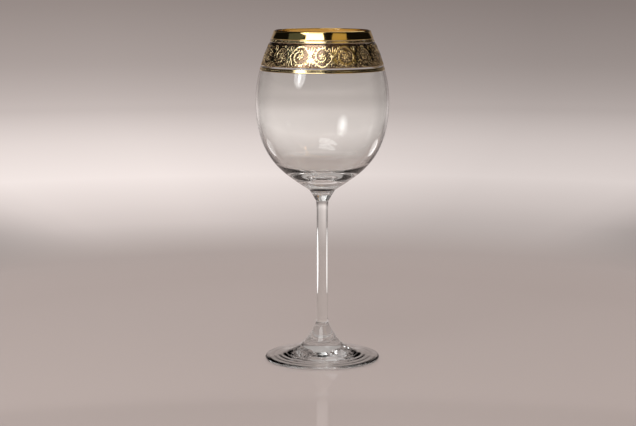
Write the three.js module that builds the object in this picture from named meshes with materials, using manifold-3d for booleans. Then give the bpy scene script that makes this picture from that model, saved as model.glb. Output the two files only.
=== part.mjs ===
// Red wine glass: a blown balloon bowl on a drawn stem and a turned foot, fused end to end,
// with a gilded rim of a burnished band, two narrow borders and a pierced running scroll.
// Millimetres, +Z up, origin at the middle of the face that the foot stands on.
import * as THREE from "three";
import { mergeVertices } from "three/addons/utils/BufferGeometryUtils.js";
import Module from "manifold-3d";

const wasm = await Module();
wasm.setup();

// Foot
const footRadius = 38.4;
const footEdgeThickness = 2; // the edge is a full round of this height
const footHeight = 22.9; // from the table to the weld under the stem
const footConeAngle = 30; // lean of the cone under the stem, from upright, in degrees
const footConeHandle = 14; // how far the cone runs down before it turns outwards
const footSpreadHandle = 22; // how far the disc runs in from the edge
const footTopFall = 2.4; // fall of the upper face over that inward run
const standingRingWidth = 1.8; // flat ring that touches the table
const kickHeight = 5; // hollow under the middle of the foot
const kickFlat = 7; // level run of that hollow
const kickHandle = 14; // how far the hollow runs in from the ring
const kickRise = 1.7; // its rise over that run

// Stem
const stemLength = 91.1;
const stemRadius = 3.85;
const headConeLength = 7; // cone under the bowl
const headConeFoot = 4.25; // its radius where the rod begins
const headTaperLength = 8; // from that radius down to the rod's own
const toeLength = 8; // flare above the foot
const toeRadius = 4.6; // stem and foot at their weld
const weldRounding = 0.4; // softened edges that leave a fine groove at that weld

// Bowl, with heights taken from its weld with the stem
const bowlHeight = 106;
const bowlBaseRadius = 8.3; // bowl and stem at their weld
const bellyRadius = 44.2;
const bellyHeight = 59;
const rimRadius = 31.9;
const wall = 1.2; // at the rim
const bellyWall = 1.7;
const baseGain = 1.6; // what the wall would gain on its way down to the weld
const baseGainPower = 1.2; // how late on that way it gains
const floorThickness = 10.6; // solid glass under the wine
const flankHandle = 17.9; // straight run of the lower flank
const flankAngle = 35; // its slope, in degrees
const bellyHandleDown = 39.7;
const bellyHandleUp = 22.5;
const rimHandle = 7.2;
const rimLean = 16; // lean of the wall towards the axis at the rim, in degrees
const floorFlat = 8; // level run of the floor inside
const wallShare = 0.5; // part of the flank's curve that the wall follows before it turns into the floor

// Gilding, from the rim down
const goldThickness = 0.2;
const goldSeat = 0.05; // seam between the gold and the glass
const rimBandHeight = 5.4;
const upperBorderHeight = 1.5;
const friezeHeight = 15.8;
const lowerBorderHeight = 2.4;
const borderGap = 0.3; // bare line between neighbouring bands
const ruleWidth = 0.6; // raised edges of the lower border
const ruleRelief = 0.15;

// Running scroll
const scrollPairs = 8; // volutes hang and stand by turns along the wave
const scrollMargin = 0.25; // bare glass between the scroll and the borders
const waveWidth = 1.5;
const voluteReach = 6.5; // from the eye to where the volute parts from the wave
const voluteStart = 30; // how far below the middle line that is, in degrees
const voluteTurns = 1.08;
const voluteWidth = 1.6;
const voluteTipWidth = 1.3;
const voluteEyeRadius = 2; // where the volute meets its rosette
const rosetteRadius = 2.7;
const rosetteScallop = 0.8;
const rosettePetals = 5;
const calyxRadius = 1.5;
const leafLength = 7.2;
const leafNotch = 4.4; // how far out the lobes of a leaf part
const leafLean = 3; // lean of its middle lobe from upright, in degrees
const leafSpread = 17; // lean of its outer lobes from the middle one, in degrees
const leafRootWidth = 1.4;

// Fineness of the round surfaces
const ringSegments = 44;
const stemSegments = 20;
const lipSteps = 3;
const friezeRows = 2;

const glass = new THREE.MeshStandardMaterial({
  color: 0xe4e8e8,
  roughness: 0.03,
  metalness: 0,
  transparent: true,
  opacity: 0.35,
});
const burnishedGold = new THREE.MeshStandardMaterial({ color: 0xd9a842, roughness: 0.08, metalness: 1 });
const reliefGold = new THREE.MeshStandardMaterial({ color: 0xc99a3c, roughness: 0.25, metalness: 1 });

const point = (radius, height) => new THREE.Vector2(radius, height);
const radians = THREE.MathUtils.degToRad;

// A solid of revolution about Z from a profile of (radius, height) points, going up its outer side.
function turned(profile, segments) {
  return new THREE.LatheGeometry(profile, segments).rotateX(Math.PI / 2);
}

// The points of a curve without its first one, so that stretches join without doubles.
const following = (curve, divisions) => curve.getPoints(divisions).slice(1);

// Even shares from nought to one.
const steps = (count) => Array.from({ length: count + 1 }, (_, i) => i / count);

// Foot: hollow and flat ring below, full-round edge, and a shallow disc that turns up into a cone.
function footProfile() {
  const edge = footEdgeThickness / 2;
  const edgeCentre = footRadius - edge;
  const flareEnd = point(edgeCentre, footEdgeThickness);
  const weld = point(toeRadius, footHeight - weldRounding);
  const flare = new THREE.CubicBezierCurve(
    flareEnd,
    point(edgeCentre - footSpreadHandle, footEdgeThickness + footTopFall),
    point(
      weld.x + footConeHandle * Math.sin(radians(footConeAngle)),
      weld.y - footConeHandle * Math.cos(radians(footConeAngle)),
    ),
    weld,
  );
  const ringInside = edgeCentre - standingRingWidth;
  const kick = new THREE.CubicBezierCurve(
    point(0, kickHeight),
    point(kickFlat, kickHeight),
    point(ringInside - kickHandle, kickRise),
    point(ringInside, 0),
  );
  const round = new THREE.EllipseCurve(edgeCentre, edge, edge, edge, -Math.PI / 2, Math.PI / 2);
  return [
    ...kick.getPoints(3),
    point(edgeCentre, 0),
    ...following(round, 3),
    ...following(flare, 7),
    point(toeRadius - weldRounding, footHeight),
    point(0, footHeight),
  ];
}

// Stem: flared toe on the foot, plain rod, and a cone that spreads to the bowl's base.
function stemProfile() {
  const toe = new THREE.QuadraticBezierCurve(
    point(toeRadius, weldRounding),
    point(stemRadius, toeLength / 2),
    point(stemRadius, toeLength),
  );
  const coneFoot = stemLength - headConeLength;
  const taper = new THREE.QuadraticBezierCurve(
    point(stemRadius, coneFoot - headTaperLength),
    point(stemRadius, coneFoot - headTaperLength / 2),
    point(headConeFoot, coneFoot),
  );
  return [
    point(0, 0),
    point(toeRadius - weldRounding, 0),
    ...toe.getPoints(5),
    ...taper.getPoints(3),
    point(bowlBaseRadius, stemLength),
    point(0, stemLength),
  ];
}

// Bowl curves: the upper ones run from the belly to the rim, the outer flank from the base to the belly.
const lip = wall / 2;
const rimHeight = bowlHeight - lip;
const upperCurve = (bellyInset, rimInset) =>
  new THREE.CubicBezierCurve(
    point(bellyRadius - bellyInset, bellyHeight),
    point(bellyRadius - bellyInset, bellyHeight + bellyHandleUp),
    point(
      rimRadius - rimInset + rimHandle * Math.sin(radians(rimLean)),
      rimHeight - rimHandle * Math.cos(radians(rimLean)),
    ),
    point(rimRadius - rimInset, rimHeight),
  );
const outerFlank = new THREE.CubicBezierCurve(
  point(bowlBaseRadius, 0),
  point(
    bowlBaseRadius + flankHandle * Math.cos(radians(flankAngle)),
    flankHandle * Math.sin(radians(flankAngle)),
  ),
  point(bellyRadius, bellyHeight - bellyHandleDown),
  point(bellyRadius, bellyHeight),
);
const outerShoulder = upperCurve(0, 0);

// Inside of the flank: moved in square to the outer curve by a wall that thickens on its way down.
function insideFlank(share) {
  const at = outerFlank.getPoint(share);
  const along = outerFlank.getTangent(share);
  const thickness = bellyWall + baseGain * ((bellyHeight - at.y) / bellyHeight) ** baseGainPower;
  return point(at.x - along.y * thickness, at.y + along.x * thickness);
}

// Hollow of the bowl below the belly: the inside of the flank, then a soft turn into the level floor.
function hollow() {
  const side = steps(4).slice(1).map((t) => insideFlank(THREE.MathUtils.lerp(1, wallShare, t)));
  const end = side.at(-1);
  const along = outerFlank.getTangent(wallShare);
  const corner = end.x - ((end.y - floorThickness) * along.x) / along.y;
  const turn = new THREE.CubicBezierCurve(
    end,
    point(corner, floorThickness),
    point(floorFlat, floorThickness),
    point(0, floorThickness),
  );
  return [...side, ...following(turn, 4)];
}

// The place on the outer shoulder at a height, by halving the curve's parameter.
function shoulderAt(height) {
  let low = 0;
  let high = 1;
  while (high - low > 1e-9) {
    const middle = (low + high) / 2;
    if (outerShoulder.getPoint(middle).y < height) low = middle;
    else high = middle;
  }
  return { at: outerShoulder.getPoint(low), along: outerShoulder.getTangent(low) };
}

// A point that far outside the glass on the shoulder, square to its surface.
function offShoulder(height, offset) {
  const { at, along } = shoulderAt(height);
  return point(at.x + along.y * offset, at.y - along.x * offset);
}

// A point that far outside the lip's round, by its share of the half turn from outside to inside.
function offLip(share, offset) {
  const reach = lip + offset;
  const turn = Math.PI * share;
  return point(rimRadius - lip + reach * Math.cos(turn), rimHeight + reach * Math.sin(turn));
}

// Heights between the gilded bands
const rimBandBottom = bowlHeight - rimBandHeight;
const upperBorderTop = rimBandBottom - borderGap;
const upperBorderBottom = upperBorderTop - upperBorderHeight;
const friezeTop = upperBorderBottom - borderGap;
const friezeBottom = friezeTop - friezeHeight;
const lowerBorderTop = friezeBottom - borderGap;
const lowerBorderBottom = lowerBorderTop - lowerBorderHeight;

const friezeLevels = Array.from(
  { length: friezeRows + 1 },
  (_, row) => friezeBottom + (friezeHeight * row) / friezeRows,
);
const gildedLevels = [
  lowerBorderBottom,
  lowerBorderTop,
  ...friezeLevels,
  upperBorderBottom,
  upperBorderTop,
  rimBandBottom,
];
const lipShares = Array.from({ length: lipSteps + 1 }, (_, step) => step / lipSteps);

function bowlProfile() {
  const bareSteps = 3; // stretch between the belly and the gilding
  const bareLevels = Array.from(
    { length: bareSteps - 1 },
    (_, step) => bellyHeight + ((lowerBorderBottom - bellyHeight) * (step + 1)) / bareSteps,
  );
  return [
    point(0, 0),
    ...outerFlank.getPoints(8),
    ...[...bareLevels, ...gildedLevels].map((height) => offShoulder(height, 0)),
    ...lipShares.map((share) => offLip(share, 0)),
    ...upperCurve(bellyWall, wall).getPoints(4).reverse().slice(1),
    ...hollow(),
  ];
}

// A closed skin on the glass: the outer line up, and the inner line back down.
function skinProfile(outer, inner) {
  const loop = [...outer, ...inner.reverse()];
  return [...loop, loop[0]];
}

// Burnished band: up the shoulder, and over the lip to its inner edge.
function rimBandProfile() {
  const line = (offset) => [
    offShoulder(rimBandBottom, offset),
    ...lipShares.slice(0, -1).map((share) => offLip(share, offset)),
  ];
  return skinProfile(line(goldSeat + goldThickness), line(goldSeat));
}

// A plain band between levels on the shoulder.
function bandProfile(levels) {
  const line = (offset) => levels.map((height) => offShoulder(height, offset));
  return skinProfile(line(goldSeat + goldThickness), line(goldSeat));
}

// Lower border: a band with a raised rule along each edge.
function lowerBorderProfile() {
  const face = goldSeat + goldThickness;
  const raised = face + ruleRelief;
  const outer = [
    offShoulder(lowerBorderBottom, raised),
    offShoulder(lowerBorderBottom + ruleWidth, raised),
    offShoulder(lowerBorderBottom + ruleWidth, face),
    offShoulder(lowerBorderTop - ruleWidth, face),
    offShoulder(lowerBorderTop - ruleWidth, raised),
    offShoulder(lowerBorderTop, raised),
  ];
  const inner = [offShoulder(lowerBorderBottom, goldSeat), offShoulder(lowerBorderTop, goldSeat)];
  return skinProfile(outer, inner);
}

// The scroll is drawn flat, x along the girth and y up from the frieze's middle line, and then wrapped.
const friezeMiddle = (friezeTop + friezeBottom) / 2;
const wrapRadius = offShoulder(friezeMiddle, 0).x;
const scrollCount = 2 * scrollPairs;
const scrollPitch = (2 * Math.PI * wrapRadius) / scrollCount;
const waveReach = friezeHeight / 2 - scrollMargin - waveWidth / 2;
const wallReach = 1; // how far the scroll's cutting walls stand out on either side of the skin

// A strip of changing width along a line of points.
function strip(line, widthAt) {
  const left = [];
  const right = [];
  line.forEach((here, i) => {
    const before = line[Math.max(i - 1, 0)];
    const after = line[Math.min(i + 1, line.length - 1)];
    const side = after.clone().sub(before).normalize().rotateAround(point(0, 0), Math.PI / 2);
    const half = widthAt(i / (line.length - 1)) / 2;
    left.push(here.clone().addScaledVector(side, half));
    right.unshift(here.clone().addScaledVector(side, -half));
  });
  return [...left, ...right];
}

const onCircle = (reach, angle) => point(reach * Math.cos(angle), reach * Math.sin(angle));

// Wave stem: one trough under the volute, which the next scroll carries on as a crest.
function waveStem() {
  const reach = scrollPitch / 2 + calyxRadius / 4;
  const line = steps(5).map((t) => {
    const x = THREE.MathUtils.lerp(-reach, reach, t);
    return point(x, -waveReach * Math.cos((Math.PI * x) / scrollPitch));
  });
  return strip(line, () => waveWidth);
}

// Volute: parts from the rising stem, turns back over the top and winds in to its rosette.
function volute() {
  const line = steps(9).map((t) => {
    const angle = radians(THREE.MathUtils.lerp(-voluteStart, 360 * voluteTurns - voluteStart, t));
    return onCircle(THREE.MathUtils.lerp(voluteReach, voluteEyeRadius, t), angle);
  });
  return strip(line, (t) => THREE.MathUtils.lerp(voluteWidth, voluteTipWidth, t));
}

// Rosette: a scalloped disc in the eye of the volute.
function rosette() {
  return steps(2 * rosettePetals)
    .slice(1)
    .map((t, i) => onCircle(rosetteRadius - (i % 2) * rosetteScallop, 2 * Math.PI * t));
}

// Calyx: a round knot that covers the join of two stems and the roots of the leaves.
function calyx() {
  return steps(6)
    .slice(1)
    .map((t) => onCircle(calyxRadius, 2 * Math.PI * t).add(point(scrollPitch / 2, 0)));
}

// Leaf: three pointed lobes that spring from the stem where it crosses the middle line,
// upright on one side of it and hanging on the other.
function leaf(upDown) {
  const root = point(scrollPitch / 2, 0);
  const lobe = (lean, reach) => onCircle(upDown * reach, Math.PI / 2 + radians(lean)).add(root);
  return [
    lobe(90, leafRootWidth / 2),
    lobe(leafLean + leafSpread, leafLength),
    lobe(leafLean + leafSpread / 2, leafNotch),
    lobe(leafLean, leafLength),
    lobe(leafLean - leafSpread / 2, leafNotch),
    lobe(leafLean - leafSpread, leafLength),
    lobe(-90, leafRootWidth / 2),
  ];
}

// A flat outline wrapped onto the shoulder as a wall that passes right through the gold.
function wrappedWall(outline, flip, place) {
  const flat = outline.map((p) => point(p.x, flip * p.y));
  const geometry = new THREE.ExtrudeGeometry(new THREE.Shape(flat), { depth: 1, bevelEnabled: false });
  const positions = geometry.getAttribute("position");
  for (let i = 0; i < positions.count; i++) {
    const angle = positions.getX(i) / wrapRadius + place;
    const height = friezeMiddle + positions.getY(i);
    const radius = shoulderAt(height).at.x + (positions.getZ(i) > 0.5 ? wallReach : -wallReach);
    positions.setXYZ(i, radius * Math.cos(angle), radius * Math.sin(angle), height);
  }
  return geometry;
}

function solidFrom(geometry) {
  const bare = geometry.clone();
  bare.deleteAttribute("normal");
  bare.deleteAttribute("uv");
  const merged = mergeVertices(bare, 1e-4);
  return new wasm.Manifold(
    new wasm.Mesh({
      numProp: 3,
      vertProperties: new Float32Array(merged.getAttribute("position").array),
      triVerts: new Uint32Array(merged.index.array),
    }),
  );
}

function geometryFrom(solid) {
  const { vertProperties, triVerts } = solid.getMesh();
  const indexed = new THREE.BufferGeometry()
    .setAttribute("position", new THREE.BufferAttribute(vertProperties, 3))
    .setIndex(new THREE.BufferAttribute(triVerts, 1));
  const geometry = indexed.toNonIndexed();
  geometry.computeVertexNormals();
  return geometry;
}

// Frieze: the gold skin of the scroll's band, kept only where the scroll runs.
function friezeGeometry() {
  const skin = solidFrom(turned(bandProfile(friezeLevels), ringSegments));
  const outlines = [waveStem(), volute(), rosette(), calyx(), leaf(1), leaf(-1)];
  let scroll = null;
  for (let i = 0; i < scrollCount; i++) {
    const flip = i % 2 ? -1 : 1;
    const place = (2 * Math.PI * i) / scrollCount;
    for (const outline of outlines) {
      const wall = solidFrom(wrappedWall(outline, flip, place));
      scroll = scroll ? scroll.add(wall) : wall;
    }
  }
  return geometryFrom(skin.intersect(scroll));
}

function piece(name, geometry, material) {
  const mesh = new THREE.Mesh(geometry, material);
  mesh.name = name;
  return mesh;
}

// Assembly: the foot on the table, the stem welded on it, the bowl on the stem, the gold on the bowl.
const gilding = new THREE.Group();
gilding.add(
  piece("rim_band", turned(rimBandProfile(), ringSegments), burnishedGold),
  piece("upper_border", turned(bandProfile([upperBorderBottom, upperBorderTop]), ringSegments), reliefGold),
  piece("scroll_frieze", friezeGeometry(), reliefGold),
  piece("lower_border", turned(lowerBorderProfile(), ringSegments), reliefGold),
);

const gildedBowl = new THREE.Group();
gildedBowl.add(piece("bowl", turned(bowlProfile(), ringSegments), glass), gilding);
gildedBowl.position.z = footHeight + stemLength;

const stem = piece("stem", turned(stemProfile(), stemSegments), glass);
stem.position.z = footHeight;

const wineGlass = new THREE.Group();
wineGlass.add(piece("foot", turned(footProfile(), ringSegments), glass), stem, gildedBowl);

export default wineGlass;
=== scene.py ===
import bpy
import numpy as np
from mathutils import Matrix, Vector


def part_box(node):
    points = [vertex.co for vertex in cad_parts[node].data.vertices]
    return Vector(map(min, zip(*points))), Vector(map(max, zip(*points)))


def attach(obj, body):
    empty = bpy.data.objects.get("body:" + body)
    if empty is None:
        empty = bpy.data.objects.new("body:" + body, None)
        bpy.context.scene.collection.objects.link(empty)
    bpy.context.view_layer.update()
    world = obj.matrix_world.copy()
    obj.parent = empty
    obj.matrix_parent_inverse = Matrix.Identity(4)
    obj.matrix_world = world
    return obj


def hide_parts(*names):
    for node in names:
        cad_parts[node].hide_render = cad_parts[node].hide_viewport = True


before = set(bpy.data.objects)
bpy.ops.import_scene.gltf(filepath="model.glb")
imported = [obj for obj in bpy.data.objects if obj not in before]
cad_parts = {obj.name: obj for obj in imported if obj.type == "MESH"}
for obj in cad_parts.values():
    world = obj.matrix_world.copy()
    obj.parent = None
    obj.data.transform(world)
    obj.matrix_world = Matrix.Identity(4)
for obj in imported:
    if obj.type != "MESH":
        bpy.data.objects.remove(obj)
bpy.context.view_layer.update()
scene = bpy.context.scene
scene.view_settings.view_transform = "Standard"
mm = 0.001  # sizes of the glass below are in millimetres
print("frame loaded:", ", ".join(sorted(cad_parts)))


# lowest and highest corner of a CAD node, in millimetres
def nodeCorners(node):
    low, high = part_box(node)
    return np.array(low) / mm, np.array(high) / mm


# sRGB hex to linear light: a straight foot, then a 2.4 power
def hexLinear(code):
    srgb = np.array([int(code[i:i + 2], 16) for i in (1, 3, 5)]) / 255
    linear = np.where(srgb <= 0.04045, srgb / 12.92, ((srgb + 0.055) / 1.055) ** 2.4)
    return (*linear, 1.0)


# one node with its settings; an input that is given a socket is linked to it
def addNode(tree, kind, inputs=None, **settings):
    node = tree.nodes.new(kind)
    for key, value in settings.items():
        setattr(node, key, value)
    for key, value in (inputs or {}).items():
        if isinstance(value, bpy.types.NodeSocket):
            tree.links.new(value, node.inputs[key])
        else:
            node.inputs[key].default_value = value
    return node


# empty material of this name, and its node tree
def newMaterial(name):
    material = bpy.data.materials.new(name)
    material.use_nodes = True
    material.node_tree.nodes.clear()
    return material, material.node_tree


# cubic curve: four corners weighted by the Bernstein polynomials of t
def cubic(corners, count):
    a, b, c, d = np.array(corners, float)
    t = np.linspace(0, 1, count)[:, None]
    return (1 - t) ** 3 * a + 3 * (1 - t) ** 2 * t * b + 3 * (1 - t) * t ** 2 * c + t ** 3 * d


# arc: centre plus radius times the cosine and sine of an angle that runs evenly
def arc(centre, radius, start, end, count):
    angle = np.radians(np.linspace(start, end, count))
    return np.array(centre) + radius * np.stack([np.cos(angle), np.sin(angle)], -1)


# profile runs laid end to end, without the doubles where they meet
def joinRuns(*runs):
    line = np.concatenate([np.atleast_2d(np.array(run, float)) for run in runs])
    return line[np.r_[True, np.hypot(*np.diff(line, axis=0).T) > 1e-6]]


# full turn in equal steps, without the last, which is the first again
def evenTurn(count):
    return np.linspace(0, 2 * np.pi, count, endpoint=False)


# profile carried round Z: each radius times the cosine and sine of even angles, at its own height;
# the points come ring by ring, with their numbers
def carriedRound(profile, around):
    angle = evenTurn(around)
    points = np.stack([np.outer(profile[:, 0], np.cos(angle)), np.outer(profile[:, 0], np.sin(angle)),
                       np.repeat(profile[:, 1:], around, 1)], -1).reshape(-1, 3)
    return points, np.arange(len(points)).reshape(-1, around)


# quads from each ring to the ring ahead of it, closed round the turn
def ringQuads(index, ahead):
    return np.stack([index, np.roll(index, -1, 1), np.roll(ahead, -1, 1), ahead], -1).reshape(-1, 4)


# turned body: a profile from axis to axis, carried round Z; two fans of triangles close it on the axis,
# and a fan that is a weld lies flat
def turnedBody(profile, around, welds=()):
    rings, index = carriedRound(profile[1:-1], around)
    points = np.concatenate([rings, [[0, 0, profile[0, 1]], [0, 0, profile[-1, 1]]]])
    under, over = np.full(around, len(rings)), np.full(around, len(rings) + 1)
    fans = {"under": np.stack([under, np.roll(index[0], -1), index[0]], -1),
            "over": np.stack([index[-1], np.roll(index[-1], -1), over], -1)}
    return {"points": points, "crest": np.ones(len(points)),
            "smooth": [ringQuads(index[:-1], index[1:])] + [fans[end] for end in fans if end not in welds],
            "flat": [fans[end] for end in welds]}


# one mesh from closed shapes: points stacked, face numbers moved on by the points before them;
# "crest" is how near the top of the relief each point is, for the gold's colour
def makeMesh(name, shapes, flatSlot=0):
    points = np.concatenate([shape["points"] for shape in shapes])
    starts = np.cumsum([0] + [len(shape["points"]) for shape in shapes])
    blocks = [(block + start, isFlat) for shape, start in zip(shapes, starts)
              for key, isFlat in (("smooth", False), ("flat", True)) for block in shape[key]]
    mesh = bpy.data.meshes.new(name)
    mesh.from_pydata((points * mm).tolist(), [], sum([block.tolist() for block, isFlat in blocks], []))
    isFlat = np.concatenate([np.full(len(block), flag) for block, flag in blocks])
    mesh.polygons.foreach_set("use_smooth", ~isFlat)
    mesh.polygons.foreach_set("material_index", isFlat.astype(np.int32) * flatSlot)
    crest = np.concatenate([shape["crest"] for shape in shapes]).astype(np.float32)
    mesh.attributes.new("crest", "FLOAT", "POINT").data.foreach_set("value", crest)
    mesh.update()
    return mesh


# piece from its mesh: it belongs to the one rigid body and stands for its CAD node, which is hidden
def addPiece(name, mesh, materials, node):
    piece = bpy.data.objects.new(name, mesh)
    scene.collection.objects.link(piece)
    for material in materials:
        mesh.materials.append(material)
    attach(piece, "root")
    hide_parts(node)
    print("piece:", name, len(mesh.polygons), "faces")


# Crystal

crystal = {
    "tint": "#FEFFFE",
    "ior": 1.52,
    "shadow": "#F4F4F4",  # what one wall lets through to the floor
    "bowlWaves": 24.0,  # mm between the slow waves left by blowing
    "bowlWaveDepth": 0.03,
    "bowlStretch": 0.5,  # below 1 the pattern is drawn out up the glass
    "stemLines": 2.6,  # mm between the lines left by drawing the rod
    "stemLineDepth": 0.006,
    "stemStretch": 0.04,
    "footRings": 3.4,  # mm between the rings left by spinning
    "footRingDepth": 0.035,
    "ringWander": 1.5,  # how far the rings stray from true circles
    "wanderScale": 0.4,
}


# lead-free crystal, fire polished: no colour, hard highlights, and faint waves
# of the making that bend what is seen through it; lamps shine through it, so its shadow is faint
def crystalMaterial(name, kind, spacing, depth, stretch=1.0):
    material, tree = newMaterial(name)
    place = addNode(tree, "ShaderNodeTexCoord")
    drawn = addNode(tree, "ShaderNodeMapping", {"Vector": place.outputs["Object"], "Scale": (1, 1, stretch)})
    if kind == "rings":  # the texture's ring wave has 20 times its scale as radians per metre
        waves = addNode(tree, "ShaderNodeTexWave", {
            "Vector": drawn.outputs["Vector"], "Scale": 2 * np.pi / (20 * spacing * mm),
            "Distortion": crystal["ringWander"], "Detail Scale": crystal["wanderScale"]},
            wave_type="RINGS", rings_direction="Z")
    else:
        waves = addNode(tree, "ShaderNodeTexNoise", {
            "Vector": drawn.outputs["Vector"], "Scale": 1 / (spacing * mm), "Detail": 1.0})
    relief = addNode(tree, "ShaderNodeBump", {
        "Height": waves.outputs["Fac"], "Strength": 1.0, "Distance": depth * mm})
    glass = addNode(tree, "ShaderNodeBsdfPrincipled", {
        "Base Color": hexLinear(crystal["tint"]), "Roughness": 0.0, "IOR": crystal["ior"],
        "Transmission Weight": 1.0, "Normal": relief.outputs["Normal"]})
    ray = addNode(tree, "ShaderNodeLightPath")
    shade = addNode(tree, "ShaderNodeBsdfTransparent", {"Color": hexLinear(crystal["shadow"])})
    both = addNode(tree, "ShaderNodeMixShader", {
        0: ray.outputs["Is Shadow Ray"], 1: glass.outputs["BSDF"], 2: shade.outputs["BSDF"]})
    addNode(tree, "ShaderNodeOutputMaterial", {"Surface": both.outputs["Shader"]})
    return material


blownCrystal = crystalMaterial("crystal_blown_fire_polished", "waves", crystal["bowlWaves"],
                               crystal["bowlWaveDepth"], crystal["bowlStretch"])
drawnCrystal = crystalMaterial("crystal_drawn_rod", "waves", crystal["stemLines"],
                               crystal["stemLineDepth"], crystal["stemStretch"])
spunCrystal = crystalMaterial("crystal_spun_disc", "rings", crystal["footRings"], crystal["footRingDepth"])

# fused glass: where two hot pieces were welded there is no surface left to see
fusedWeld, weldTree = newMaterial("crystal_fused_weld")
clear = addNode(weldTree, "ShaderNodeBsdfTransparent")
addNode(weldTree, "ShaderNodeOutputMaterial", {"Surface": clear.outputs["BSDF"]})
print("crystal materials done")


# Foot

footHigh = nodeCorners("foot")[1]

foot = {
    "edge": 2.0,  # height of the full-round edge
    "coneAngle": 30,  # lean of the cone under the stem, from upright
    "coneRun": 14.0,
    "spreadRun": 22.0,
    "topFall": 2.4,
    "standing": 1.8,  # width of the ring it stands on
    "kick": 5.0,
    "kickFlat": 7.0,
    "kickRun": 14.0,
    "kickRise": 1.7,  # how far the hollow has climbed over that run
    "toeRadius": 4.6,
    "weldRound": 0.4,
    "steps": {"hollow": 60, "edge": 22, "flare": 90, "weld": 7},
    "around": 176,
}


# foot's half outline: hollow underside, standing ring, full-round edge, shallow disc, cone, soft weld
def footProfile():
    half = foot["edge"] / 2
    edgeIn = footHigh[0] - half
    top = footHigh[2]
    toe, soft, lean = foot["toeRadius"], foot["weldRound"], np.radians(foot["coneAngle"])
    ringIn, steps = edgeIn - foot["standing"], foot["steps"]
    hollow = cubic([(0, foot["kick"]), (foot["kickFlat"], foot["kick"]),
                    (ringIn - foot["kickRun"], foot["kickRise"]), (ringIn, 0)], steps["hollow"])
    edge = arc((edgeIn, half), half, -90, 90, steps["edge"])
    flare = cubic([(edgeIn, foot["edge"]), (edgeIn - foot["spreadRun"], foot["edge"] + foot["topFall"]),
                   (toe + foot["coneRun"] * np.sin(lean), top - soft - foot["coneRun"] * np.cos(lean)),
                   (toe, top - soft)], steps["flare"])
    weld = arc((toe - soft, top - soft), soft, 0, 90, steps["weld"])
    return joinRuns(hollow, edge, flare, weld, [(0, top)])


footBody = turnedBody(footProfile(), foot["around"], ["over"])
addPiece("foot_glass", makeMesh("foot_glass", [footBody], 1),
         [spunCrystal, fusedWeld], "foot")


# Stem

stemLow, stemHigh = nodeCorners("stem")

stem = {
    "radius": 3.85,
    "cone": 7.0,  # length of the cone under the bowl
    "coneFoot": 4.25,
    "taper": 8.0,  # length of the throat under the cone
    "toe": 8.0,  # length of the flare on the foot
    "pulls": (2.5, 5.0),  # reach of the handles of throat and flare, from their wide end
    "bead": 0.3,  # roll of glass squeezed out at the bowl's weld
    "beadFrom": -60,  # degrees, where its round starts
    "steps": {"weld": 7, "flare": 26, "shaft": 20, "throat": 24, "cone": 14, "bead": 8},
    "around": 96,
}


# stem's half outline: soft weld, flare, straight rod, throat, cone, rolled weld
def stemProfile():
    low, top, head = stemLow[2], stemHigh[2], stemHigh[0]
    toe, soft, rod, roll = foot["toeRadius"], foot["weldRound"], stem["radius"], stem["bead"]
    neck, steps = top - stem["cone"], stem["steps"]
    near, far = stem["pulls"]
    weld = arc((toe - soft, low + soft), soft, -90, 0, steps["weld"])
    flare = cubic([(toe, low + soft), (rod, low + near), (rod, low + far), (rod, low + stem["toe"])],
                  steps["flare"])
    shaft = np.linspace((rod, low + stem["toe"]), (rod, neck - stem["taper"]), steps["shaft"])
    throat = cubic([(rod, neck - stem["taper"]), (rod, neck - far), (rod, neck - near),
                    (stem["coneFoot"], neck)], steps["throat"])
    cone = np.linspace((stem["coneFoot"], neck), (head - roll, top - 2 * roll), steps["cone"])
    bead = arc((head - roll, top - roll), roll, stem["beadFrom"], 90, steps["bead"])
    return joinRuns([(0, low)], weld, flare, shaft, throat, cone, bead, [(0, top)])


stemBody = turnedBody(stemProfile(), stem["around"], ["under", "over"])
addPiece("stem_glass", makeMesh("stem_glass", [stemBody], 1),
         [drawnCrystal, fusedWeld], "stem")


# Bowl

bowlLow, bowlHigh = nodeCorners("bowl")

bowl = {
    "baseRadius": 8.3,
    "bellyRise": 59.0,  # from the weld with the stem to the widest part
    "rimRadius": 31.9,
    "wall": 1.2,  # at the rim
    "bellyWall": 1.7,
    "floor": 10.6,
    "thicken": 2.6,  # what the wall gains on its way down from the belly to the base
    "floorFlat": 8.0,
    "flankRun": 17.9,  # reach of the outline's handles: from the base, both ways from the belly, from the rim
    "pullDown": 39.7,
    "pullUp": 22.5,
    "rimRun": 7.2,
    "flankSlope": 35,  # degrees from level at the base
    "rimLean": 16,  # degrees from upright at the rim
    "steps": {"flank": 110, "shoulder": 60, "lip": 15, "floor": 50},
    "around": 192,
}
bowlBase, bellyRadius = bowlLow[2], bowlHigh[0]
belly = bowlBase + bowl["bellyRise"]
lip = bowl["wall"] / 2
rimHeight = bowlHigh[2] - lip


# shoulder: cubic from the belly up to the rim, moved in by an inset that changes evenly on the way
def shoulderCurve(bellyInset, rimInset, count):
    lean, rim = np.radians(bowl["rimLean"]), bowl["rimRadius"]
    insets = np.linspace(bellyInset, rimInset, 4)
    corners = np.array([(bellyRadius, belly), (bellyRadius, belly + bowl["pullUp"]),
                        (rim + bowl["rimRun"] * np.sin(lean), rimHeight - bowl["rimRun"] * np.cos(lean)),
                        (rim, rimHeight)])
    return cubic(corners - np.stack([insets, 0 * insets], -1), count)


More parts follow.
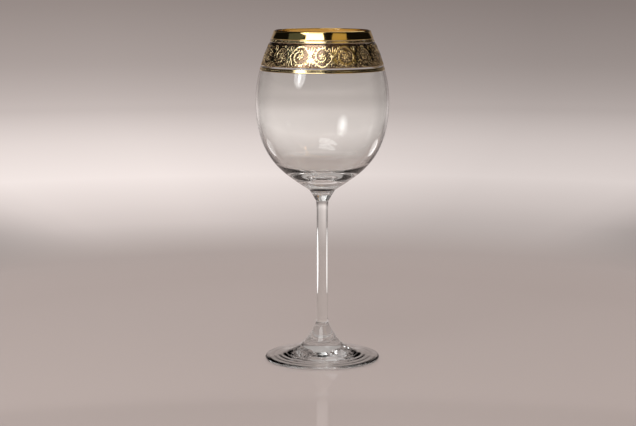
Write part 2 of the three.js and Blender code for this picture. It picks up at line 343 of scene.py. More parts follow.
# inside of the flank: moved in square to it by a wall that thickens as the shoulder's does, plus a square
# of the way down, so nothing seen through it jumps; then a cubic that comes level to the middle of the floor
def hollowCurve(flank):
    run = np.gradient(flank, axis=0)
    run[-1] = (0, 1)  # upright at the belly, where the shoulder's inside takes over
    run /= np.linalg.norm(run, axis=1, keepdims=True)
    down, rise = belly - flank[:, 1:], bowl["bellyRise"]
    taper = (bowl["bellyWall"] - bowl["wall"]) / (3 * bowl["pullUp"])  # the shoulder's at the belly
    wall = bowl["bellyWall"] + taper * down + (bowl["thicken"] - taper * rise) * (down / rise) ** 2
    inner = flank + wall * np.stack([-run[:, 1], run[:, 0]], -1)
    half = len(flank) // 2  # below the middle of the flank the floor's curve takes over
    side, along = inner[half:], run[half]
    floor = bowlBase + bowl["floor"]
    corner = side[0, 0] - (side[0, 1] - floor) * along[0] / along[1]
    bottom = cubic([side[0], (corner, floor), (bowl["floorFlat"], floor), (0, floor)], bowl["steps"]["floor"])
    return joinRuns(side[::-1], bottom)


# bowl's half outline: weld, flank, shoulder, half-round lip, then back down the inside to the floor
def bowlProfile():
    slope = np.radians(bowl["flankSlope"])
    base, run, steps = bowl["baseRadius"], bowl["flankRun"], bowl["steps"]
    flank = cubic([(base, bowlBase), (base + run * np.cos(slope), bowlBase + run * np.sin(slope)),
                   (bellyRadius, belly - bowl["pullDown"]), (bellyRadius, belly)], steps["flank"])
    roundLip = arc((bowl["rimRadius"] - lip, rimHeight), lip, 0, 180, steps["lip"])
    inside = shoulderCurve(bowl["bellyWall"], bowl["wall"], steps["shoulder"])[::-1]
    return joinRuns([(0, bowlBase)], flank, shoulderCurve(0, 0, steps["shoulder"]), roundLip, inside,
                    hollowCurve(flank))


bowlBody = turnedBody(bowlProfile(), bowl["around"], ["under"])
addPiece("bowl_glass", makeMesh("bowl_glass", [bowlBody], 1),
         [blownCrystal, fusedWeld], "bowl")


# Gold

gold = {
    "bright": "#F9DE9C",
    "warm": "#F2CE80",
    "relief": "#F6E0AE",
    # brown of the painted shade at the feet of the relief
    "edge": "#8C6642",
    "under": "#F0BF5C",  # the deeper gold that shows through the glass
    "patch": 9.0,  # mm, slow drift between warm and bright
    "burnishLine": 0.5,  # mm; the stone's real lines are finer than the render can show
    "burnishStretch": 0.06,  # the lines are drawn out round the rim
    "burnishDepth": 0.003,  # mm
    "burnishRough": (0.04, 0.12),
    "grain": 0.3,  # mm, the fired paste's grain, drawn coarser than it is
    "grainDepth": 0.02,  # mm
    "satinRough": (0.05, 0.16),
    "paintedShadeRamp": (0.15, 0.75),  # share of the height where the brown painted shade at the feet ends, and where the crest starts
    "seat": -0.02,  # mm, the gold is fired into the glass
    "seatCrest": 0.35,  # share of the height that a skin's seat is coloured for
}

# bright gold, fired on and rubbed with agate: a near mirror with faint lines round the rim
burnishedGold, tree = newMaterial("gold_fired_burnished")
place = addNode(tree, "ShaderNodeTexCoord")
rubbed = addNode(tree, "ShaderNodeMapping", {
    "Vector": place.outputs["Object"], "Scale": (gold["burnishStretch"], gold["burnishStretch"], 1)})
lines = addNode(tree, "ShaderNodeTexNoise", {
    "Vector": rubbed.outputs["Vector"], "Scale": 1 / (gold["burnishLine"] * mm), "Detail": 2.0})
patches = addNode(tree, "ShaderNodeTexNoise", {
    "Vector": place.outputs["Object"], "Scale": 1 / (gold["patch"] * mm), "Detail": 2.0})
tone = addNode(tree, "ShaderNodeValToRGB", {"Fac": patches.outputs["Fac"]})
tone.color_ramp.elements[0].color = hexLinear(gold["warm"])
tone.color_ramp.elements[1].color = hexLinear(gold["bright"])
crest = addNode(tree, "ShaderNodeAttribute", attribute_name="crest")
side = addNode(tree, "ShaderNodeMix", {
    0: crest.outputs["Fac"], 6: hexLinear(gold["under"]), 7: tone.outputs["Color"]}, data_type="RGBA")
polish = addNode(tree, "ShaderNodeMapRange", {
    "Value": lines.outputs["Fac"], "To Min": gold["burnishRough"][0], "To Max": gold["burnishRough"][1]})
relief = addNode(tree, "ShaderNodeBump", {
    "Height": lines.outputs["Fac"], "Strength": 1.0, "Distance": gold["burnishDepth"] * mm})
shader = addNode(tree, "ShaderNodeBsdfPrincipled", {
    "Base Color": side.outputs[2], "Metallic": 1.0, "Roughness": polish.outputs["Result"],
    "Normal": relief.outputs["Normal"]})
addNode(tree, "ShaderNodeOutputMaterial", {"Surface": shader.outputs["BSDF"]})

# relief gold, paste fired satin: pale gold on the crests, brown towards the feet of the relief as painted
# shade in the recesses, a fine sparkle of grain
reliefGold, tree = newMaterial("gold_paste_fired_satin")
place = addNode(tree, "ShaderNodeTexCoord")
grain = addNode(tree, "ShaderNodeTexNoise", {
    "Vector": place.outputs["Object"], "Scale": 1 / (gold["grain"] * mm), "Detail": 2.0})
crest = addNode(tree, "ShaderNodeAttribute", attribute_name="crest")
# colour by height: painted shade, brown at the feet, running up to pale gold on the crests
tone = addNode(tree, "ShaderNodeValToRGB", {"Fac": crest.outputs["Fac"]})
for stop, colour, position in zip(tone.color_ramp.elements, ("edge", "relief"), gold["paintedShadeRamp"]):
    stop.color = hexLinear(gold[colour])
    stop.position = position
satin = addNode(tree, "ShaderNodeMapRange", {
    "Value": grain.outputs["Fac"], "To Min": gold["satinRough"][0], "To Max": gold["satinRough"][1]})
relief = addNode(tree, "ShaderNodeBump", {
    "Height": grain.outputs["Fac"], "Strength": 1.0, "Distance": gold["grainDepth"] * mm})
shader = addNode(tree, "ShaderNodeBsdfPrincipled", {
    "Base Color": tone.outputs["Color"], "Metallic": 1.0, "Roughness": satin.outputs["Result"],
    "Normal": relief.outputs["Normal"]})
addNode(tree, "ShaderNodeOutputMaterial", {"Surface": shader.outputs["BSDF"]})
print("gold materials done")


# Gold bands, turned on the bowl's shoulder

shoulderLine = shoulderCurve(0, 0, 600)  # fine enough to read radius and slope from
shoulderSlope = np.gradient(shoulderLine[:, 0], shoulderLine[:, 1])


# outer radius of the glass, and its change with height, by interpolation along the shoulder
def shoulderAt(height):
    return (np.interp(height, shoulderLine[:, 1], shoulderLine[:, 0]),
            np.interp(height, shoulderLine[:, 1], shoulderSlope))


# point on the shoulder: height and angle place it on the glass, then lift moves it out square to the surface
def onShoulder(angle, height, lift):
    radius, slope = shoulderAt(height)
    square = np.sqrt(1 + slope ** 2)
    out = radius + lift / square
    return np.stack([out * np.cos(angle), out * np.sin(angle), height - lift * slope / square], -1)


# turned ring: a closed profile carried round Z at even angles
def turnedRing(profile, crest, around):
    points, index = carriedRound(profile, around)
    return {"points": points, "crest": np.repeat(crest, around),
            "smooth": [ringQuads(index, np.roll(index, -1, 0))], "flat": []}


# line up the shoulder at angle 0: radius and height of each lifted point
def shoulderRun(heights, lifts):
    return onShoulder(0 * heights, heights, lifts)[:, [0, 2]]


# skin on the shoulder: out along the lifts from low to high, back along the seat in the glass
def shoulderSkin(heights, lifts, around):
    seat = shoulderRun(heights, 0 * heights + gold["seat"])[::-1]
    crest = np.r_[lifts / lifts.max(), np.full(len(heights), gold["seatCrest"])]
    return turnedRing(np.concatenate([shoulderRun(heights, lifts), seat]), crest, around)


dome = {
    "tilts": (0, 32, 62),  # degrees up the dome, of its rings
    "crests": (0.2, 0.8, 1.0),  # share of the height that each ring is coloured for
    "around": 8,
}


# low domes: each ring of a dome is a circle of cosine width and sine height, with a pole on top
def beadDomes(angles, height, size, rise):
    around, tilt = dome["around"], np.radians(dome["tilts"])
    turn = evenTurn(around)
    ring = size / 2 * np.cos(tilt)[:, None]
    across, up = np.append(ring * np.cos(turn), 0), np.append(ring * np.sin(turn), 0)
    lift = gold["seat"] + rise * np.append(np.repeat(np.sin(tilt), around), 1)
    angles, height = np.broadcast_arrays(np.atleast_1d(angles), height)
    radius = shoulderAt(height)[0]
    points = onShoulder(angles[:, None] + across / radius[:, None], height[:, None] + up,
                        lift + 0 * angles[:, None])
    each = len(across)
    index = np.arange(each - 1).reshape(-1, around)
    quads = ringQuads(index[:-1], index[1:])
    fan = np.stack([index[-1], np.roll(index[-1], -1), np.full(around, each - 1)], -1)
    start = (np.arange(len(angles)) * each)[:, None, None]
    crest = np.append(np.repeat(dome["crests"], around), 1)
    return {"points": points.reshape(-1, 3), "crest": np.tile(crest, len(angles)),
            "smooth": [(quads + start).reshape(-1, 4), (fan + start).reshape(-1, 3)],
            "flat": [(index[0, ::-1] + start[:, 0]).reshape(-1, around)]}


rimBand = {
    "thickness": 0.22,
    "soft": 0.3,  # mm over which the lower edge thins out
    "thinnest": 0.02,  # share of the square of the thickness that is left at the edge
    "evenFrom": 0.5,  # mm above the lower edge
    "overLip": 120,  # degrees of the lip's half round that the gold covers
    "tuck": 8,  # degrees that its seat runs on past that
    "steps": {"soft": 6, "even": 30, "lip": 16},
    "around": 240,
}
bandLow = nodeCorners("rim_band")[0][2]


# rim band: up the shoulder and over the lip at one thickness, whose square falls to the lower edge,
# then back along the seat in the glass
def rimBandProfile():
    steps, over = rimBand["steps"], rimBand["overLip"]
    heights = np.r_[bandLow + np.linspace(0, rimBand["soft"], steps["soft"]),
                    np.linspace(bandLow + rimBand["evenFrom"], rimHeight, steps["even"])[:-1]]
    thin = np.sqrt(np.clip((heights - bandLow) / rimBand["soft"], rimBand["thinnest"], 1))
    centre = (bowl["rimRadius"] - lip, rimHeight)
    outer = shoulderRun(heights, thin * rimBand["thickness"])
    overLip = arc(centre, lip + rimBand["thickness"], 0, over, steps["lip"])
    underLip = arc(centre, lip + gold["seat"], over + rimBand["tuck"], 0, steps["lip"])
    seat = shoulderRun(heights, 0 * heights + gold["seat"])[::-1]
    crest = np.repeat([1.0, 0.0], [len(outer) + len(overLip), len(underLip) + len(seat)])
    return np.concatenate([outer, overLip, underLip, seat]), crest


addPiece("rim_band_gold", makeMesh("rim_band_gold", [turnedRing(*rimBandProfile(), rimBand["around"])]),
         [burnishedGold], "rim_band")

borders = {
    "skin": 0.16,  # mm, lift of the flat gold
    "rule": 0.2,  # mm, lift of the raised rules
    "upperRule": 0.4,  # mm, width of the rules of the upper border
    "lowerRule": 0.65,
    "edgeLift": 0.03,
    "ruleGap": 0.03,  # mm between a rule and the flat gold
    "beadRise": 0.25,
    "upperBead": 0.36,  # mm across
    "lowerBead": 0.5,
    "beadStep": 1.12,  # from bead to bead, in widths
    "steps": {"rule": 9, "flat": 7},
    "around": 240,
}


# border: flat gold between two rules of half-sine section along its edges, with a row of beads in the middle
def borderMesh(name, low, high, rule, bead):
    acrossRule, inset = np.linspace(0, rule, borders["steps"]["rule"]), rule + borders["ruleGap"]
    flat = np.linspace(low + inset, high - inset, borders["steps"]["flat"])
    heights = np.concatenate([low + acrossRule, flat, high - rule + acrossRule])
    fromEdge = np.minimum(heights - low, high - heights)
    rounded = np.sin(np.pi * np.clip(fromEdge / rule, 0, 1))
    lifts = np.where(fromEdge < rule / 2, borders["edgeLift"], borders["skin"])
    lifts = np.maximum(lifts, borders["rule"] * rounded)
    middle = (low + high) / 2
    count = int(2 * np.pi * shoulderAt(middle)[0] / (bead * borders["beadStep"]))
    return makeMesh(name, [shoulderSkin(heights, lifts, borders["around"]),
                           beadDomes(evenTurn(count), middle, bead, borders["beadRise"])])


for part in ("upper", "lower"):
    node = part + "_border"
    low, high = nodeCorners(node)[0][2], nodeCorners(node)[1][2]
    mesh = borderMesh(node + "_gold", low, high, borders[part + "Rule"], borders[part + "Bead"])
    addPiece(node + "_gold", mesh, [reliefGold], node)


# Ground of the frieze

ground = {
    "stain": "#96785E",
    "mottle": 1.2,  # mm
    "thin": 0.55,  # share of light that the film stops where it is thin and where it is thick
    "thick": 0.95,
    "rough": 0.22,
    "glazeRough": 0.03,
    "lift": 0.02,
    "lowMargin": 0.8,  # mm of bare glass left above the lower border
    "highMargin": 0.3,
    "levels": 20,
    "around": 160,
}

# etched ground, stained with thin lustre: a brown film that dims what is seen between the scrolls,
# glazed by the firing, so the lamps shine on it as on the glass
lustreStain, tree = newMaterial("lustre_thin_fired_stain")
place = addNode(tree, "ShaderNodeTexCoord")
mottle = addNode(tree, "ShaderNodeTexNoise", {
    "Vector": place.outputs["Object"], "Scale": 1 / (ground["mottle"] * mm), "Detail": 3.0})
film = addNode(tree, "ShaderNodeMapRange", {
    "Value": mottle.outputs["Fac"], "To Min": ground["thin"], "To Max": ground["thick"]})
shader = addNode(tree, "ShaderNodeBsdfPrincipled", {
    "Base Color": hexLinear(ground["stain"]), "Metallic": 1.0, "Roughness": ground["rough"],
    "Alpha": film.outputs["Result"], "Coat Weight": 1.0, "Coat Roughness": ground["glazeRough"]})
addNode(tree, "ShaderNodeOutputMaterial", {"Surface": shader.outputs["BSDF"]})

groundLow, groundHigh = nodeCorners("lower_border")[1][2], nodeCorners("upper_border")[0][2]
levels = np.linspace(groundLow + ground["lowMargin"], groundHigh - ground["highMargin"], ground["levels"])
groundSkin = shoulderSkin(levels, ground["lift"] + 0 * levels, ground["around"])
addPiece("frieze_ground_stain", makeMesh("frieze_ground_stain", [groundSkin]),
         [lustreStain], "scroll_frieze")


# Scroll frieze: drawn flat, u along the band and v up, in millimetres, then wrapped on the shoulder

frieze = {
    "scrolls": 16,
    "waveWidth": 1.2,
    "waveLap": 0.03,  # mm that each length of the running stem runs on into the next
    "voluteRadius": (6.5, 2.0),  # at its two ends
    "voluteTurn": (-30, 360),  # degrees
    "voluteWidth": (1.3, 0.95),
    "lobeRun": (0.06, 1.0),  # where a lobe starts and ends, in its lengths from the knot
    "lobeLength": 7.2,
    "lobeLeans": (20, 3, -14),  # degrees from upright
    "lobeBow": 0.35,  # what the lean gains by the tip, as a share of itself
    "lobeWidth": 1.7,
    "petals": 5,
    "petalRun": (0.5, 2.7),  # mm from the eye
    "petalTurn": 0.3,  # radians
    "petalWidth": 1.7,
    "leafTip": 0.06,  # mm, least width of a leaf
    "leafRoot": 0.16,  # share of the leaf's outline that is hidden at its root
    "leafSwell": 0.8,  # below 1 moves the widest place towards the root
    "leafletBend": 0.55,  # share of its length that a leaflet keeps to its stem's run
    "leafletClear": 0.4,  # mm that leaflets keep from the edges of the band
    "rise": 0.3,  # mm, height of the relief
    "fullRise": 1.6,  # a strip is lower where its width times this is under its widest
    "eye": 2.0,  # mm across, the bead in the middle of the petals
    "knot": 3.0,  # mm across, the bead between two scrolls
    "pearl": 0.75,  # mm across, the pearls that fill the ground
    "pearlStep": 1.0,
    "pearlRow": 0.87,  # from row to row, in steps
    "pearlClear": 0.05,
    # share of the rise that each kind has
    "lobeRise": 0.9,
    "petalRise": 1.05,
    "eyeRise": 1.4,
    "knotRise": 1.3,
    "pearlRise": 0.8,
    # leaflets outside and inside the volute, then under and over the wave: the shares of its way where they
    # leave it, the side, their lengths, the degrees they spread, their width and their share of the rise
    "leaflets": (
        {"stem": "volute", "places": np.linspace(0.02, 0.8, 16), "side": -1,
         "lengths": np.linspace(3.6, 2.0, 16), "spread": 62, "width": 1.6, "rise": 0.9},
        {"stem": "volute", "places": np.linspace(0.05, 0.66, 12), "side": 1,
         "lengths": np.linspace(2.8, 1.6, 12), "spread": 55, "width": 1.35, "rise": 0.8},
        {"stem": "wave", "places": (0.02, 0.12, 0.22, 0.32, 0.68, 0.78, 0.88), "side": -1,
         "lengths": (3.8, 3.4, 2.6, 1.8, 2.2, 3.0, 3.4), "spread": 52, "width": 1.7, "rise": 0.9},
        {"stem": "wave", "places": (0.06, 0.18, 0.3, 0.42, 0.54, 0.66), "side": 1,
         "lengths": (3.0, 2.8, 2.6, 2.4, 2.2, 2.4), "spread": 48, "width": 1.4, "rise": 0.85},
    ),
    "steps": {"wave": 33, "volute": 49, "lobe": 9, "petal": 7, "leaflet": 7},
}
friezeLow, friezeHigh = nodeCorners("scroll_frieze")[0][2], nodeCorners("scroll_frieze")[1][2]
friezeMiddle, reach = (friezeLow + friezeHigh) / 2, (friezeHigh - friezeLow) / 2
wrapRadius = shoulderAt(friezeMiddle)[0]
pitch = 2 * np.pi * wrapRadius / frieze["scrolls"]
sectionAcross = np.array([1, 0.86, 0.45, 0, -0.45, -0.86, -1])  # flat crest with rounded edges
sectionUp = np.array([0, 0.72, 0.96, 1, 0.96, 0.72, 0])


# one scroll's paths repeated round the band, every other one turned upside down
def roundBand(paths):
    turn = np.arange(frieze["scrolls"])
    flip = np.stack([1 + 0 * turn, 1 - 2 * (turn % 2)], -1)[:, None, None]
    step = np.stack([turn * pitch, 0 * turn], -1)[:, None, None]
    return (paths[None] * flip + step).reshape(-1, *paths.shape[1:])


# relief strips: the section, scaled by each point's width and rise, carried along each path
def reliefStrips(paths, widths, rise):
    paths = roundBand(paths)
    widths = np.broadcast_to(widths, paths.shape[:2])
    run = np.gradient(paths, axis=1)
    run /= np.linalg.norm(run, axis=-1, keepdims=True)
    left = np.stack([-run[..., 1], run[..., 0]], -1)
    flat = paths[:, :, None] + left[:, :, None] * (widths[..., None] / 2 * sectionAcross)[..., None]
    full = rise * np.minimum(1, widths / widths.max() * frieze["fullRise"])
    lift = gold["seat"] + full[..., None] * sectionUp
    points = onShoulder(flat[..., 0] / wrapRadius, friezeMiddle + flat[..., 1], lift)
    index = np.arange(lift.size).reshape(lift.shape)
    over = np.roll(index, -1, 2)
    sides = np.stack([index[:, :-1], over[:, :-1], over[:, 1:], index[:, 1:]], -1)
    ends = np.concatenate([index[:, 0, ::-1], index[:, -1]])
    return {"points": points.reshape(-1, 3), "crest": (lift - gold["seat"]).ravel() / rise,
            "smooth": [sides[:, :, :-1].reshape(-1, 4)], "flat": [sides[:, :, -1].reshape(-1, 4), ends]}


# beads of the frieze: domes at flat places, repeated as the scrolls are
def reliefBeads(places, size, rise):
    spots = roundBand(np.array(places, float)[:, None])[:, 0]
    return beadDomes(spots[:, 0] / wrapRadius, friezeMiddle + spots[:, 1], size, rise)


# leaf outline: widest near the root, a sine of a power of the way along that fades to a point
def leafWidths(widest, steps):
    way = np.linspace(frieze["leafRoot"], 1, steps)
    return frieze["leafTip"] + widest * np.sin(np.pi * way ** frieze["leafSwell"])


# leaflets: each leaves its stem along the stem's run and bends out to one side, a parabola with three corners
def leaflets(stemPath, row, steps):
    run = np.gradient(stemPath, axis=0)
    run /= np.linalg.norm(run, axis=-1, keepdims=True)
    out = row["side"] * np.stack([-run[:, 1], run[:, 0]], -1)
    at = np.round(np.array(row["places"]) * (len(stemPath) - 1)).astype(int)
    root, run, out = stemPath[at][:, None], run[at][:, None], out[at][:, None]
    lengths = np.array(row["lengths"])[:, None, None]
    lean = np.radians(row["spread"])
    bend = root + frieze["leafletBend"] * lengths * run
    tip = root + lengths * (np.cos(lean) * run + np.sin(lean) * out)
    t = np.linspace(0, 1, steps)[:, None]
    paths = (1 - t) ** 2 * root + 2 * (1 - t) * t * bend + t ** 2 * tip
    most = reach - frieze["leafletClear"]
    return np.stack([paths[..., 0], np.clip(paths[..., 1], -most, most)], -1)


# running stem: a cosine wave that carries on from scroll to scroll
def wavePath(steps):
    half = pitch / 2 + frieze["waveLap"]
    u = np.linspace(-half, half, steps)
    swing = reach - frieze["waveWidth"] / 2
    return np.stack([u, -swing * np.cos(np.pi * u / pitch)], -1)


# volute: a spiral whose radius falls evenly with its angle
def volutePath(steps):
    angle = np.radians(np.linspace(*frieze["voluteTurn"], steps))
    radius = np.linspace(*frieze["voluteRadius"], steps)
    return np.stack([radius * np.cos(angle), radius * np.sin(angle)], -1)


# three-lobed leaf at the end of the scroll, and its twin turned half round below:
# each lobe is a line from the knot whose lean grows evenly on the way out
def lobePaths(steps):
    lean = np.radians(frieze["lobeLeans"])[:, None]
    t = np.linspace(*frieze["lobeRun"], steps)
    bow = lean + frieze["lobeBow"] * lean * t
    up = np.stack([-np.sin(bow) * t, np.cos(bow) * t], -1) * frieze["lobeLength"]
    return np.concatenate([up, -up]) + [pitch / 2, 0]


# petals: straight spokes from the eye of the volute, at even angles
def petalPaths(steps):
    angle = evenTurn(frieze["petals"])[:, None] + frieze["petalTurn"]
    t = np.linspace(*frieze["petalRun"], steps)
    return np.stack([t * np.cos(angle), t * np.sin(angle)], -1)


# pearls of the ground: a staggered grid over one pair of scrolls, kept where every strip is clear of it
def pearlSpots(strips):
    rounds = [roundBand(paths) for paths, widths, share in strips]
    near = np.concatenate([paths.reshape(-1, 2) for paths in rounds])
    half = np.concatenate([np.broadcast_to(strip[1], paths.shape[:2]).ravel() / 2
                           for paths, strip in zip(rounds, strips)])
    size = frieze["pearl"]
    step = 2 * pitch / round(2 * pitch / frieze["pearlStep"])
    rows = np.arange(size / 2 - reach, reach - size / 2, step * frieze["pearlRow"])
    columns = np.arange(round(2 * pitch / step)) * step - pitch / 2
    u = columns + (np.arange(len(rows)) % 2)[:, None] * step / 2
    spots = np.stack([u, rows[:, None] + 0 * u], -1).reshape(-1, 2)
    across = (spots[:, None, 0] - near[:, 0] + pitch) % (2 * pitch) - pitch
    gap = np.hypot(across, spots[:, None, 1] - near[:, 1]) - half
    free = spots[gap.min(1) > size / 2 + frieze["pearlClear"]]
    pairs = np.arange(frieze["scrolls"] // 2)[:, None] * [2 * pitch, 0]
    return (free + pairs[:, None]).reshape(-1, 2)


steps, rise = frieze["steps"], frieze["rise"]
stems = {"wave": wavePath(steps["wave"]), "volute": volutePath(steps["volute"])}
friezeStrips = [  # paths, widths, height
    (stems["wave"][None], frieze["waveWidth"], rise),
    (stems["volute"][None], np.linspace(*frieze["voluteWidth"], steps["volute"]), rise),
    (lobePaths(steps["lobe"]), leafWidths(frieze["lobeWidth"], steps["lobe"]), rise * frieze["lobeRise"]),
    (petalPaths(steps["petal"]), leafWidths(frieze["petalWidth"], steps["petal"]),
     rise * frieze["petalRise"]),
]
for row in frieze["leaflets"]:
    friezeStrips.append((leaflets(stems[row["stem"]], row, steps["leaflet"]),
                         leafWidths(row["width"], steps["leaflet"]), rise * row["rise"]))
pearls = pearlSpots(friezeStrips)
friezeShapes = [reliefStrips(*strip) for strip in friezeStrips] + [
    reliefBeads([(0, 0)], frieze["eye"], rise * frieze["eyeRise"]),
    reliefBeads([(pitch / 2, 0)], frieze["knot"], rise * frieze["knotRise"]),
    beadDomes(pearls[:, 0] / wrapRadius, friezeMiddle + pearls[:, 1], frieze["pearl"],
              rise * frieze["pearlRise"]),
]
addPiece("scroll_frieze_gold", makeMesh("scroll_frieze_gold", friezeShapes),
         [reliefGold], "scroll_frieze")


# Stage: a pale sweep, floor and wall in one turned surface, metres

sweep = {
    "centre": 0.002,  # radius of the innermost ring
    "wall": 2.0,  # radius of the wall
    "bend": 0.06,
    "top": 0.55,
    "drop": 0.0002,  # keeps the floor just under the foot
    # tone at a distance along the sweep, floor first and then up the wall; the pale band a metre out and the
    # darker wall are painted light and painted shade
    "tonesAndLight": ((0.0, "#A79C98"), (0.3, "#A59A96"), (0.43, "#AA9F9B"), (0.62, "#C8BDB9"), (0.76, "#D7CCC8"),
              (0.99, "#E8DDD9"), (1.40, "#D9CECA"), (1.97, "#BBB0AC"), (2.05, "#A39894"), (2.16, "#8F8480"),
              (2.55, "#8F8480")),
    "litWithin": (0.32, 0.6),  # the floor near the glass takes its light and shade from the lamps
    # share of the tone at an angle from straight behind: painted shade on the sweep at its sides, and painted
    # light on its camera side
    "shade": ((0, 1.0), (24, 1.0), (40, 0.38), (64, 0.38), (80, 0.8), (110, 0.9), (150, 1.25), (180, 1.25)),
    "lean": 0.6,  # how much paler the left of the sweep is than its middle, and darker the right: painted light and painted shade
    "leanMost": 0.2,  # sideways share past which it changes no more
    "shadeFrom": (0.42, 0.62),  # distance over which that shade sets in
    "rough": 0.05,
    "gloss": 0.12,
    "steps": {"floor": 160, "bend": 12, "wall": 40},
    "around": 128,
}


# sweep: floor, quarter bend and wall as one profile turned round Z; its tone, with painted light and shade in
# it, and how far the lamps light it follow the distance along the profile
def sweepObject():
    bend, radius, steps = sweep["bend"], sweep["wall"], sweep["steps"]
    floor = np.linspace((sweep["centre"], 0), (radius - bend, 0), steps["floor"])
    corner = arc((radius - bend, bend), bend, -90, 0, steps["bend"])
    wall = np.linspace((radius, bend), (radius, sweep["top"]), steps["wall"])
    line = joinRuns(floor, corner, wall) - [0, sweep["drop"]]
    along = np.r_[0, np.cumsum(np.hypot(*np.diff(line, axis=0).T))]
    points, index = carriedRound(line, sweep["around"])
    quads = ringQuads(index[1:], index[:-1])  # this way round they face the glass
    mesh = bpy.data.meshes.new("sweep")
    mesh.from_pydata(points.tolist(), [], quads.tolist() + [index[0].tolist()])
    mesh.polygons.foreach_set("use_smooth", np.ones(len(mesh.polygons), bool))
    marks = np.array([mark for mark, code in sweep["tonesAndLight"]])
    tonesAndLight = np.array([hexLinear(code) for mark, code in sweep["tonesAndLight"]])
    colour = np.stack([np.interp(along, marks, tonesAndLight[:, k]) for k in range(4)], -1)
    # painted shade at the sides, painted light on the camera side and the left, by the angle round the sweep
    angle = evenTurn(sweep["around"])
    fromBehind = np.degrees(np.abs(np.arctan2(np.cos(angle), np.sin(angle))))
    sideways = np.clip(np.cos(angle), -sweep["leanMost"], sweep["leanMost"])
    shade = np.interp(fromBehind, *np.array(sweep["shade"]).T) * (1 - sweep["lean"] * sideways)
    start, end = sweep["shadeFrom"]
    shaded = np.clip((along - start) / (end - start), 0, 1)[:, None]
    colour = colour[:, None] * (1 - shaded * (1 - shade))[..., None]
    near, far = sweep["litWithin"]
    lit = 1 - np.clip((along - near) / (far - near), 0, 1)
    lit = lit * lit * (3 - 2 * lit)  # eased in and out
    mesh.attributes.new("tone", "FLOAT_COLOR", "POINT").data.foreach_set("color", colour.ravel())
    mesh.attributes.new("lit", "FLOAT", "POINT").data.foreach_set("value", np.repeat(lit, sweep["around"]))
    mesh.update()
    piece = bpy.data.objects.new("sweep", mesh)
    scene.collection.objects.link(piece)
    return piece


# painted paper sweep: matt with a faint gloss; away from the glass it shows its tone, painted light and
# painted shade included, whatever the lamps do
paper, tree = newMaterial("paper_sweep_painted")
tone = addNode(tree, "ShaderNodeAttribute", attribute_name="tone")
lit = addNode(tree, "ShaderNodeAttribute", attribute_name="lit")
ray = addNode(tree, "ShaderNodeLightPath")
seen = addNode(tree, "ShaderNodeMath", {0: ray.outputs["Is Camera Ray"], 1: ray.outputs["Is Glossy Ray"]},
               operation="MAXIMUM")
seen = addNode(tree, "ShaderNodeMath", {0: seen.outputs[0], 1: ray.outputs["Is Transmission Ray"]},
               operation="MAXIMUM")
unlit = addNode(tree, "ShaderNodeMath", {0: 1.0, 1: lit.outputs["Fac"]}, operation="SUBTRACT")
share = addNode(tree, "ShaderNodeMath", {0: seen.outputs[0], 1: unlit.outputs[0]}, operation="MULTIPLY")
matt = addNode(tree, "ShaderNodeBsdfPrincipled", {
    "Base Color": tone.outputs["Color"], "Roughness": sweep["rough"], "Specular IOR Level": sweep["gloss"]})
glow = addNode(tree, "ShaderNodeEmission", {"Color": tone.outputs["Color"], "Strength": 1.0})
mixed = addNode(tree, "ShaderNodeMixShader", {
    0: share.outputs[0], 1: matt.outputs["BSDF"], 2: glow.outputs["Emission"]})
addNode(tree, "ShaderNodeOutputMaterial", {"Surface": mixed.outputs["Shader"]})
sweepObject().data.materials.append(paper)
print("sweep done")


# Light: azimuth from the camera's side, negative to its left; width and height in metres

studio = {
    "aim": (0, 0, 0.2),
    "front": 0.006,  # the dark room on the camera's side, in the mirror of gold and glass
    "side": 0.05,  # the same room seen through the glass
    "back": 0.42,  # the pale room behind, seen through the glass above the sweep
    "backFrom": (-0.25, 0.2),  # how far behind, as a share of the way, it goes from dark to pale
    "tone": "#FFF6F2",
    "lamps": (
        # name, shape, azimuth, elevation, distance, width, height, radiance, colour, rays that don't see it
        ("key_softbox", "ELLIPSE", -42.5, 21.6, 1.3, 0.48, 0.51, 3.4, "#FFFFFF", ()),
        ("key_core", "ELLIPSE", -42.5, 21.6, 1.28, 0.13, 0.38, 5.0, "#FFFFFF", ()),
        ("front_panel", "RECTANGLE", -20, 46, 1.2, 0.76, 0.66, 3.6, "#FFFFFF", ()),
        ("gold_reflector", "RECTANGLE", 44, 37, 1.2, 0.64, 0.32, 0.45, "#FFE094", ("transmission",)),
        ("left_card", "RECTANGLE", -69, 32, 1.2, 0.76, 0.3, 0.09, "#E6FAFF", ()),
        ("back_panel", "RECTANGLE", 160, 42, 1.2, 0.6, 0.5, 1.5, "#FFFFFF", ("transmission",)),
        # low cards beside the glass: the white lines down the stem and the pale edge of the foot
        ("low_card_left", "ELLIPSE", -135, -36, 0.3, 0.1, 0.06, 0.7, "#FFFFFF", ("diffuse", "glossy")),
        ("low_card_right", "ELLIPSE", 135, -36, 0.3, 0.1, 0.06, 1.3, "#FFFFFF", ("diffuse", "glossy")),
        # the room's even light on matt things, which no mirror shows
        ("room_light", "RECTANGLE", 0, 90, 2.2, 4.5, 4.5, 1.85, "#FFFBF9", ("glossy", "transmission")),
    ),
}

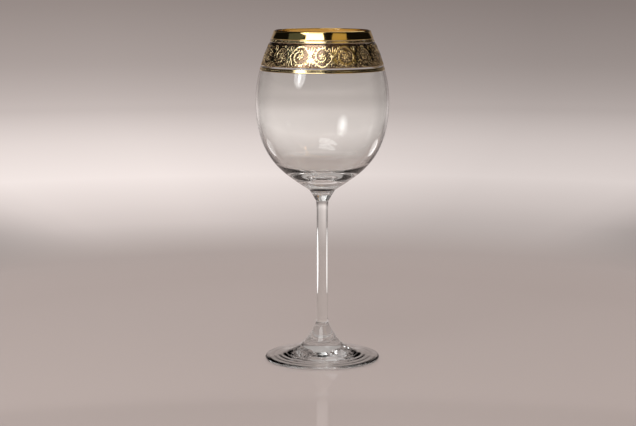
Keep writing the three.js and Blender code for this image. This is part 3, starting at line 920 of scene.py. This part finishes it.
# the room as gold and glass see it: dark, but pale behind the sweep where it is seen through glass
world = bpy.data.worlds.new("studio")
world.use_nodes = True
tree = world.node_tree
tree.nodes.clear()
ray = addNode(tree, "ShaderNodeLightPath")
place = addNode(tree, "ShaderNodeTexCoord")
parts = addNode(tree, "ShaderNodeSeparateXYZ", {"Vector": place.outputs["Generated"]})
behind = addNode(tree, "ShaderNodeMapRange", {
    "Value": parts.outputs["Y"], "From Min": studio["backFrom"][0], "From Max": studio["backFrom"][1],
    "To Min": studio["side"], "To Max": studio["back"]}, interpolation_type="SMOOTHSTEP")
level = addNode(tree, "ShaderNodeMapRange", {
    "Value": ray.outputs["Is Transmission Ray"], "To Min": studio["front"],
    "To Max": behind.outputs["Result"]})
room = addNode(tree, "ShaderNodeBackground", {
    "Color": hexLinear(studio["tone"]), "Strength": level.outputs["Result"]})
addNode(tree, "ShaderNodeOutputWorld", {"Surface": room.outputs["Background"]})
scene.world = world


# area lamp on a sphere round the aim, facing it; its power gives the radiance over its area
def addLamp(name, shape, azimuth, elevation, distance, width, height, radiance, colour, unseenBy):
    turn, tilt = np.radians(azimuth), np.radians(elevation)
    lamp = bpy.data.lights.new(name, "AREA")
    lamp.shape, lamp.size, lamp.size_y = shape, width, height
    lamp.color = hexLinear(colour)[:3]
    area = width * height * (np.pi / 4 if shape == "ELLIPSE" else 1)
    lamp.energy = np.pi * area * radiance
    holder = bpy.data.objects.new(name, lamp)
    toward = Vector((np.cos(tilt) * np.sin(turn), -np.cos(tilt) * np.cos(turn), np.sin(tilt)))
    holder.location = Vector(studio["aim"]) + distance * toward
    holder.rotation_euler = toward.to_track_quat("Z", "Y").to_euler()
    for rays in ("camera", *unseenBy):
        setattr(holder, "visible_" + rays, False)
    scene.collection.objects.link(holder)


for lampRow in studio["lamps"]:
    addLamp(*lampRow)
# the room reaches the floor under the glass by shadow rays alone, which pass through it
bpy.data.lights["room_light"].cycles.use_multiple_importance_sampling = False
print("lamps done")


# Camera

view = {
    "place": (-0.00285, -1.142, 0.268),  # metres
    "pitch": 81.56,  # degrees up from straight down
    "lens": 97.9,  # mm, on a sensor this wide
    "sensor": 36,
    "bounces": 24,  # light crosses several walls of glass
    "mirrorBounces": 8,  # and is mirrored inside it until little is left
}
lens = bpy.data.cameras.new("camera")
lens.lens, lens.sensor_width = view["lens"], view["sensor"]
camera = bpy.data.objects.new("camera", lens)
camera.location = view["place"]
camera.rotation_euler = (np.radians(view["pitch"]), 0, 0)
scene.collection.objects.link(camera)
scene.camera = camera
scene.cycles.max_bounces = view["bounces"]
scene.cycles.transmission_bounces = view["bounces"]
scene.cycles.transparent_max_bounces = view["bounces"]
scene.cycles.glossy_bounces = view["mirrorBounces"]
scene.cycles.caustics_refractive = False  # the lamps already shine through the crystal
scene.cycles.caustics_reflective = False
